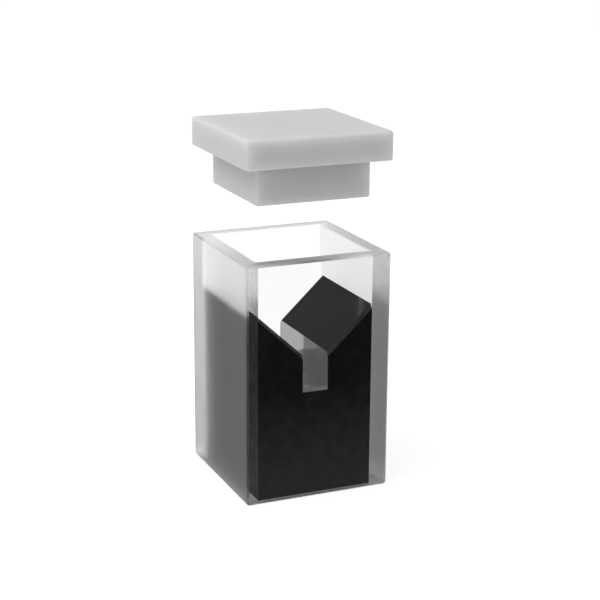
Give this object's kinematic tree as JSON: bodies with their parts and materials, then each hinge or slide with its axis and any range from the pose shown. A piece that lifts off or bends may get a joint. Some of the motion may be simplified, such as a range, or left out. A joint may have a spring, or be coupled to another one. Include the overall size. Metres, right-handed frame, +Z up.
{
  "type": "quartz cuvette with a black funnel insert and a stopper",
  "caption": "Short square clear quartz cuvette with a black funnel insert that leads down to a narrow see-through sample slot, and a square PTFE stopper lifted off its mouth.",
  "frame": {"origin": "centre of the cell's square base, on the surface it stands on", "axes": "+Z up along the cell, -Y towards the front window, +Y towards the back window, +X to the right. Light for a measurement passes along Y, from window to window, through the slot"},
  "size_m": [0.0126, 0.0126, 0.0299],
  "materials": {
    "clear_quartz": "clear fused quartz, polished windows",
    "black_quartz": "black fused quartz, smooth",
    "white_ptfe": "machined PTFE, matt and slightly waxy"
  },
  "bodies": {
    "cell": {"front_window": "clear_quartz", "back_window": "clear_quartz", "left_side_plate": "clear_quartz", "right_side_plate": "clear_quartz", "left_funnel_block": "black_quartz", "right_funnel_block": "black_quartz", "slot_spacer": "black_quartz"},
    "lid": {"stopper": "white_ptfe"}
  },
  "joints": [
    {"name": "lid_lift", "type": "slide", "parent": "cell", "child": "lid", "axis": [0, 0, 1], "range_m": [-0.0075, 0]}
  ]
}
